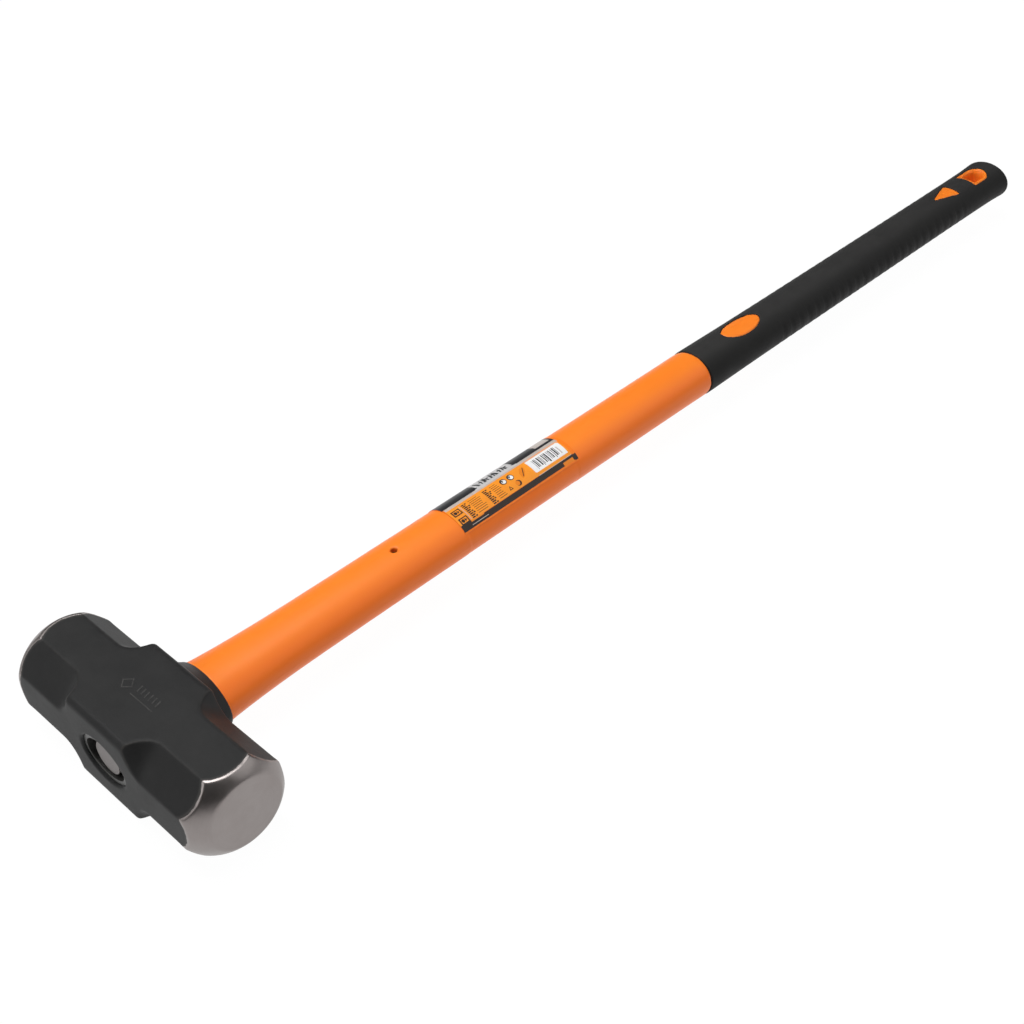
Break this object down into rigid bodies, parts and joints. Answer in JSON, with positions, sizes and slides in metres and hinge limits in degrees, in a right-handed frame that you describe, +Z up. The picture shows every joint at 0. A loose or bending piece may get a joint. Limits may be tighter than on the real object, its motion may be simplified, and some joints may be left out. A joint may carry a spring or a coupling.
{
  "type": "sledgehammer",
  "caption": "Long-handled sledgehammer: forged head with octagonal ends and ground faces, jacketed fibreglass handle with ribbed rubber grip and hang hole.",
  "frame": {"origin": "centre of the cheek that the hammer lies on, below the handle's axis", "axes": "+X is the striking direction, +Y runs along the handle from the head to the grip's end, +Z is up from the lower cheek to the upper cheek"},
  "size_m": [0.1676, 0.9046, 0.0584],
  "materials": {
    "head_steel": "black powder coat over forged steel; striking faces ground bare",
    "bond_resin": "dark cast epoxy, slightly rough",
    "core_glassfibre": "sawn end of a pultruded glass fibre rod",
    "jacket_plastic": "moulded polypropylene, satin",
    "grip_rubber": "moulded soft rubber, matt",
    "label_print": null
  },
  "bodies": {
    "root": {"head": "head_steel", "eye_bond": "bond_resin", "fibreglass_core": "core_glassfibre", "handle_jacket": "jacket_plastic", "rubber_grip": "grip_rubber", "label_film": "label_print"}
  },
  "joints": []
}
